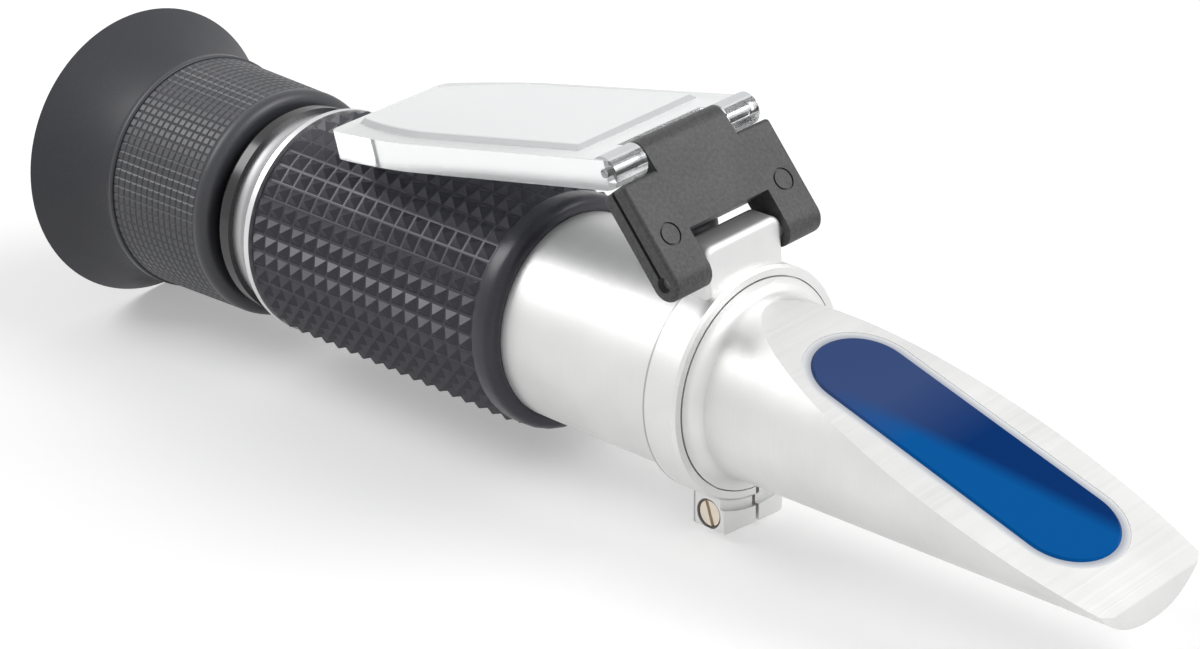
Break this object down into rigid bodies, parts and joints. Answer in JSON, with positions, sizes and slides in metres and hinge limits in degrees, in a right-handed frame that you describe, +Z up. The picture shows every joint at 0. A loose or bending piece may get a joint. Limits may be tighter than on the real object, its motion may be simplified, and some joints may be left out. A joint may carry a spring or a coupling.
{
  "type": "hand-held refractometer",
  "caption": "Hand-held optical refractometer tube with a slanted prism face, a folding clear cover plate on a pivoting link, ribbed grip and turning focus eyepiece.",
  "frame": {"origin": "middle of the bounding box at the level of the eyecup rim's lowest point", "axes": "+X from the eyecup to the prism tip, +Z up towards the cover hinge, the tube axis level along X at 19.8 mm"},
  "size_m": [0.169, 0.0396, 0.0491],
  "materials": {
    "satin_aluminium": "satin",
    "black_aluminium": "matte black anodised",
    "chrome": "polished",
    "black_rubber": "matte",
    "black_plastic": "fine matte grain",
    "gloss_black": "polished",
    "clear_acrylic": "polished rim, frosted inner face",
    "prism_glass": "polished",
    "lens_glass": "polished",
    "cement": "smooth",
    "brass": "satin",
    "steel": "brushed"
  },
  "bodies": {
    "tube": {"barrel": "satin_aluminium", "rubber_grip": "black_rubber", "rear_ferrule": "chrome", "guide_bush": "gloss_black", "scale_holder": "black_aluminium", "scale_disc": "lens_glass", "scale_retainer": "black_aluminium", "bimetal_steel": "steel", "bimetal_brass": "brass", "strip_block": "black_aluminium", "rear_strip_screw": "steel", "front_strip_screw": "steel", "objective_cell": "black_aluminium", "objective_lens": "lens_glass", "objective_retainer": "black_aluminium", "clamp_ring": "satin_aluminium", "clamp_screw": "brass", "nose": "satin_aluminium", "main_prism": "prism_glass", "prism_cement": "cement", "nose_o_ring": "black_rubber", "light_stop": "black_aluminium", "push_pin": "steel"},
    "focus_slide": {"eyepiece_o_ring": "black_rubber"},
    "eyepiece": {"eyepiece_tube": "black_aluminium", "focus_ring": "black_plastic", "eyecup": "black_rubber", "eye_lens": "lens_glass", "lens_shim": "black_aluminium", "lens_spacer": "black_aluminium", "field_lens": "lens_glass", "lens_retainer": "black_aluminium"},
    "link": {"hinge_link": "black_plastic", "link_pin": "steel", "cover_pin": "steel"},
    "cover": {"cover_plate": "clear_acrylic"},
    "calibration_screw": {"calibration_screw": "brass"},
    "cap": {"calibration_cap": "black_rubber"}
  },
  "joints": [
    {"name": "link_fold", "type": "hinge", "parent": "tube", "child": "link", "pos_m": [0.0274, 0, 0.0361], "axis": [0, 1, 0], "range_deg": [0, 150.59]},
    {"name": "cover_fold", "type": "hinge", "parent": "link", "child": "cover", "pos_m": [0.01888, 0, 0.04708], "axis": [0, 1, 0], "range_deg": [0, 58.28]},
    {"name": "focus_travel", "type": "slide", "parent": "tube", "child": "focus_slide", "axis": [-1, 0, 0], "range_m": [-0.00101, 0.00185]},
    {"name": "focus_turn", "type": "hinge", "parent": "focus_slide", "child": "eyepiece", "pos_m": [-0.063, 0, 0.0198], "axis": [-1, 0, 0], "range_deg": [-60, 110]},
    {"name": "calibration_turn", "type": "hinge", "parent": "tube", "child": "calibration_screw", "pos_m": [0.0188, 0, 0.0306], "axis": [0, 0, 1], "range_deg": [-90, 90]},
    {"name": "cap_pull", "type": "slide", "parent": "tube", "child": "cap", "axis": [0, 0, 1], "range_m": [0, 0.0011]}
  ],
  "couplings": [
    {"joint": "focus_travel", "follows": "focus_turn", "m_per_rad": 0.00095493}
  ]
}
